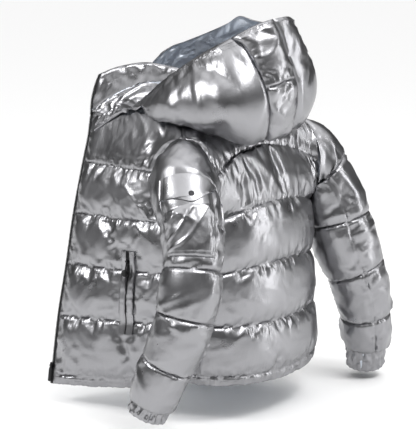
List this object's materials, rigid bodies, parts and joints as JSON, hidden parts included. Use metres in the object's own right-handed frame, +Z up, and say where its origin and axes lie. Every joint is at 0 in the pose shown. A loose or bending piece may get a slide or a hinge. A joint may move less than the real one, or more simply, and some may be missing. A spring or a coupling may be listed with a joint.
{
  "type": "hooded quilted puffer jacket",
  "caption": "Hooded quilted puffer jacket, filled out as worn with its front open: shell panels, stand collar, hood, zip, pockets with pulls, and sleeves with cuffs.",
  "frame": {"origin": "on the upright axis of the wearer's torso, at shoulder height, where the wearer holds the jacket up", "axes": "+Z up along the jacket's length, the wearer faces -Y and the wearer's left is +X"},
  "size_m": [0.8695, 0.5707, 0.9555],
  "materials": {
    "shell": "shiny metallic silver foil-coated nylon, quilted",
    "tape": "black woven zip tape with coil teeth",
    "metal": "black lacquered metal",
    "pull": "matt black"
  },
  "bodies": {
    "jacket": {"back": "shell", "front_left": "shell", "front_right": "shell", "sleeve_left": "shell", "sleeve_right": "shell", "cuff_left": "shell", "cuff_right": "shell", "collar": "shell", "hood_left": "shell", "hood_centre": "shell", "hood_right": "shell", "zip_tape_left": "tape", "zip_tape_right": "tape", "front_slider": "metal", "pocket_welt_back_left": "shell", "pocket_welt_front_left": "shell", "pocket_welt_back_right": "shell", "pocket_welt_front_right": "shell", "pocket_slider_left": "metal", "pocket_slider_right": "metal", "sleeve_pocket": "shell", "sleeve_flap": "shell", "sleeve_snap": "metal"},
    "body_front_pull": {"front_pull": "pull"},
    "body_pocket_pull_left": {"pocket_pull_left": "pull"},
    "body_pocket_pull_right": {"pocket_pull_right": "pull"}
  },
  "joints": [
    {"name": "front_pull_swing", "type": "hinge", "parent": "jacket", "child": "body_front_pull", "pos_m": [0.30049, -0.35377, -0.62342], "axis": [0.1539, -0.9877, 0.0294], "range_deg": [0, 110]},
    {"name": "pocket_pull_left_swing", "type": "hinge", "parent": "jacket", "child": "body_pocket_pull_left", "pos_m": [0.25178, -0.14114, -0.33368], "axis": [0.0889, -0.996, -0.0135], "range_deg": [0, 90]},
    {"name": "pocket_pull_right_swing", "type": "hinge", "parent": "jacket", "child": "body_pocket_pull_right", "pos_m": [-0.19392, -0.1421, -0.33664], "axis": [-0.571, 0.82, -0.0404], "range_deg": [0, 90]}
  ]
}
